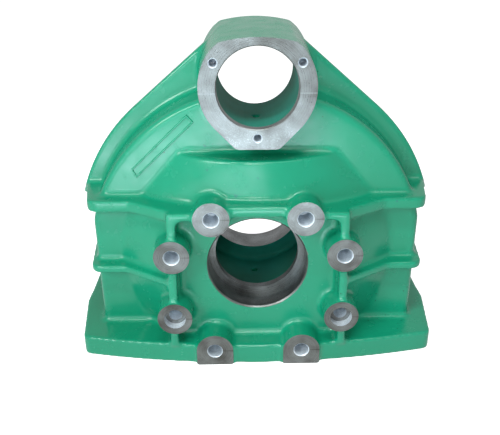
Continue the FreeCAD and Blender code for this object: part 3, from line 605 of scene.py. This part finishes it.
def cut_at(middle, normal):
    """The centre (x, z) of the cut or core that left this face and its finish, or None on the outside."""
    if abs(normal.y) > 0.98:
        if abs(middle.y - FRONT) < SAME_PLANE:
            nearest = min(BOSSES, key=lambda boss: math.hypot(middle.x - boss[0], middle.z - boss[1]))
            return (*nearest, FACE)
        if abs(middle.y - BACK) < SAME_PLANE:
            return (0, LOW_AXIS, FACE)
        top_face = min(abs(middle.y - RING_FACE), abs(middle.y - BARREL_BACK)) < SAME_PLANE
        if top_face and middle.z > RING_FOOT:
            return (0, TOP_AXIS, FACE)
    tapped = TAPPING + TAPPING_MOUTH + EDGE
    for holes, radius, low, high in ((BOSSES, COUNTERBORE + EDGE, FRONT, FRONT + 40 * MM),
                                     (RING_HOLES, tapped, RING_FACE, RING_FACE + 25 * MM),
                                     (COVER_HOLES, tapped, BACK - 26 * MM, BACK)):
        for x, z in holes:
            if in_turn(middle, x, z, radius, low, high):
                return (x, z, DRILLED if abs(normal.y) < 0.9 else FACE)
    for axis, radius, low, high in (
            (LOW_AXIS, FRONT_SEAT + LEAD_IN + EDGE, WALL - EDGE * MM, WALL + 44.5 * MM),
            (LOW_AXIS, REAR_SEAT + LEAD_IN + EDGE, BACK - 44.9 * MM, BACK),
            (TOP_AXIS, RING_SEAT + TOP_LEAD_IN + EDGE, RING_FACE, RING_FACE + 9.5 * MM),
            (TOP_AXIS, BARREL_SEAT + TOP_LEAD_IN + EDGE, BARREL_BACK - 10.1 * MM, BARREL_BACK)):
        if in_turn(middle, 0, axis, radius, low, high):
            return (0, axis, SEAT if abs(normal.y) < 0.3 else FACE)
    for axis, radius, low, high in ((LOW_AXIS, 95, WALL + 44 * MM, BACK - 40 * MM),
                                    (TOP_AXIS, RELIEF + 1.1, RING_FACE, BARREL_BACK)):
        if in_turn(middle, 0, axis, radius, low, high):
            return (0, axis, INNER_PAINT)
    return None


mesh = casting.data
mesh.materials.clear()
for finish in (enamel, iron, seat, drilled, inner_paint):
    mesh.materials.append(finish)
from_cutter = mesh.attributes.new("from_cutter", "FLOAT_VECTOR", "CORNER")
for polygon in mesh.polygons:
    found = cut_at(polygon.center, polygon.normal)
    polygon.material_index = found[2] if found else ENAMEL
    if found:
        centre = Vector((found[0], FRONT, found[1]))
        for corner in polygon.loop_indices:
            from_cutter.data[corner].vector = mesh.vertices[mesh.loops[corner].vertex_index].co - centre
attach(casting, "root")
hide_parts(NODE)

# The border on the wall left of the barrel: a thin raised line round a slanted oblong, cast in one with
# the wall and painted with it. The wall inside it is smooth. The corners are (x, z) in millimetres.
PANEL = FRONT + 62 * MM
BORDER_CORNERS = ((-148.9, 237.8), (-80.4, 303.6), (-72.1, 294.4), (-143.1, 226.5))
BORDER_WIDTH = 2.4
BORDER_DRAFT = 0.3
ROOT_Y = PANEL + 1 * MM
CREST_Y = PANEL - 1.5 * MM

shape = bmesh.new()
rows = []
for inward, y in ((0, ROOT_Y), (BORDER_DRAFT, CREST_Y), (BORDER_WIDTH - BORDER_DRAFT, CREST_Y),
                  (BORDER_WIDTH, ROOT_Y)):
    row = []
    for step in range(4):
        here = Vector(BORDER_CORNERS[step])
        sides = [(Vector(BORDER_CORNERS[other]) - here).normalized() for other in (step - 1, (step + 1) % 4)]
        spot = here + (sides[0] + sides[1]) * inward
        row.append(shape.verts.new((spot.x * MM, y, spot.y * MM)))
    rows.append(row)
for one, two in zip(rows, rows[1:] + rows[:1]):
    for step in range(4):
        after = (step + 1) % 4
        shape.faces.new((one[step], one[after], two[after], two[step]))
border = new_object("plate_border", shape)
rounded = border.modifiers.new("cast edges", "BEVEL")
rounded.width = 0.7 * MM
rounded.segments = 3
apply_modifiers(border)
border.data.materials.append(enamel)
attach(border, "root")

# The floor: a plain pale sheet that runs under the object and far behind it. The camera sees it as
# white paper, and it keeps the object's shadow.
shape = bmesh.new()
block(shape, (-6, -6, -0.02), (6, 8, 0))
floor = new_object("floor", shape)
pale, tree, shader = material("pale_floor", (0.8, 0.8, 0.8), 0.9)


def seen_directly(tree, for_camera, for_gloss):
    """One value for the camera's own rays, another for what metal and gloss reflect, else 0."""
    path = tree.nodes.new("ShaderNodeLightPath").outputs
    glossy = through_maths(tree, "MAXIMUM", path["Is Glossy Ray"], path["Is Transmission Ray"])
    return through_maths(tree, "MAXIMUM", through_maths(tree, "MULTIPLY", path["Is Camera Ray"], for_camera),
                         through_maths(tree, "MULTIPLY", glossy, for_gloss))


shader.inputs["Emission Color"].default_value = (1, 1, 1, 1)
tree.links.new(seen_directly(tree, 0.85, 0.25), shader.inputs["Emission Strength"])
floor.data.materials.append(pale)

# The light: a bright window at the left, a strip light above the front, a lit card on the floor before
# the object, a low wide doorway at the front left, a small lamp beside the camera and a soft ceiling
# light, in a pale room. The camera doesn't see the lamps themselves.
ROOM = 0.2
world = bpy.data.worlds.new("studio")
bpy.context.scene.world = world
world.use_nodes = True
tree = world.node_tree
level = through_maths(tree, "ADD", seen_directly(tree, 1 - ROOM, 0.45), ROOM)
tree.nodes["Background"].inputs["Color"].default_value = (1, 1, 1, 1)
tree.links.new(level, tree.nodes["Background"].inputs["Strength"])


def lamp(name, place, aim, size, power, colour=(1, 1, 1)):
    """An oblong area light that points at its aim."""
    data = bpy.data.lights.new(name, "AREA")
    data.shape = "RECTANGLE"
    data.color = colour
    data.size, data.size_y = size
    data.energy = power
    made = bpy.data.objects.new(name, data)
    bpy.context.scene.collection.objects.link(made)
    made.visible_camera = False
    made.location = place
    made.rotation_euler = (Vector(aim) - Vector(place)).to_track_quat("-Z", "Y").to_euler()


lamp("window", (-1.4, -1.8, 1.5), (0, 0, 0.2), (1.0, 0.8), 33, (0.93, 1, 1))
lamp("strip", (-0.2, -0.95, 1.95), (0, 0, 0.2), (0.9, 0.08), 16, (0.88, 1, 1))
lamp("card", (-0.14, -0.8, 0.01), (-0.14, -0.8, 1), (0.7, 0.38), 7.5, (0.7, 0.88, 1))
lamp("doorway", (-0.8, -1.9, 0.3), (0, 0, 0.25), (2.4, 0.32), 12, (0.7, 0.9, 1))
lamp("beside_the_camera", (-0.02, -0.86, 0.6), (0, 0, 0.2), (0.2, 0.2), 1.5)
lamp("ceiling", (0.5, -0.6, 2.2), (0, 0, 0.2), (1.0, 1.0), 9)

# The camera stands where the photographer stood, close in front of the object and a little above it,
# and looks down on it.
FOCAL_PIXELS = 638.6
PIXELS_WIDE = 500
SENSOR = 36
view = bpy.data.cameras.new("photograph")
view.sensor_width = SENSOR
view.lens = FOCAL_PIXELS / PIXELS_WIDE * SENSOR
camera = bpy.data.objects.new("photograph", view)
bpy.context.scene.collection.objects.link(camera)
pitch, yaw, roll = (math.radians(turn) for turn in (24.60, 1.02, -0.27))
forward = Vector((math.sin(yaw) * math.cos(pitch), math.cos(yaw) * math.cos(pitch), -math.sin(pitch)))
right = Vector((math.cos(yaw), -math.sin(yaw), 0))
up = right.cross(forward)
level_right = right * math.cos(roll) + up * math.sin(roll)
level_up = up * math.cos(roll) - right * math.sin(roll)
turn = Matrix((level_right, level_up, -forward)).transposed().to_4x4()
camera.matrix_world = Matrix.Translation((-0.021, -0.7799, 0.4995)) @ turn
bpy.context.scene.camera = camera
bpy.context.scene.view_settings.view_transform = "Standard"
